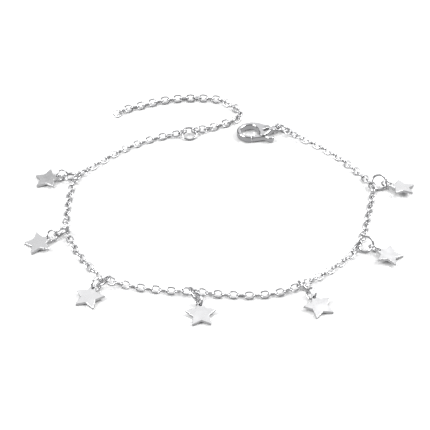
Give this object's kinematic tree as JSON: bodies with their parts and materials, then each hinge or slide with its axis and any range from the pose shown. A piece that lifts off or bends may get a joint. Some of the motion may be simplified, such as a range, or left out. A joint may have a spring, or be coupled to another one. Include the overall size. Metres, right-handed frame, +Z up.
{
  "type": "charm anklet",
  "caption": "Fine silver cable-chain anklet with flat star charms on jump rings, lobster clasp and short extender chain, lying unfastened.",
  "frame": {"origin": "on the surface it lies on, under the middle of the whole piece's outline", "axes": "+Z up from the surface, +X along the loop's width with the clasp end to the +X side, +Y from the middle star towards the clasp and extender"},
  "size_m": [0.0967, 0.088, 0.0037],
  "materials": {
    "chain_silver": "polished silver plate on fine drawn wire links",
    "extender_silver": "polished silver plate on slightly heavier wire links",
    "ring_silver": "polished silver plate on round wire jump rings",
    "star_silver": "bright satin-polished flat faces with polished stamped edges",
    "clasp_silver": "polished silver-plated casting",
    "lever_silver": "polished silver-plated lever"
  },
  "bodies": {
    "anklet": {"main_chain": "chain_silver", "extender_chain": "extender_silver", "clasp_body": "clasp_silver", "clasp_ring": "ring_silver", "extender_ring": "ring_silver", "chain_ring_1": "ring_silver", "chain_ring_2": "ring_silver", "chain_ring_3": "ring_silver", "chain_ring_4": "ring_silver", "chain_ring_5": "ring_silver", "chain_ring_6": "ring_silver", "chain_ring_7": "ring_silver", "star_ring_1": "ring_silver", "star_ring_2": "ring_silver", "star_ring_3": "ring_silver", "star_ring_4": "ring_silver", "star_ring_5": "ring_silver", "star_ring_6": "ring_silver", "star_ring_7": "ring_silver", "star_1": "star_silver", "star_2": "star_silver", "star_3": "star_silver", "star_4": "star_silver", "star_5": "star_silver", "star_6": "star_silver", "star_7": "star_silver"},
    "lever": {"clasp_lever": "lever_silver"}
  },
  "joints": [
    {"name": "clasp_lever_hinge", "type": "hinge", "parent": "anklet", "child": "lever", "pos_m": [0.01059, 0.02597, 0.00095], "axis": [0, 0, -1], "range_deg": [0, 22], "stiffness_Nm_per_rad": 0.002, "springref_deg": -17.19}
  ]
}
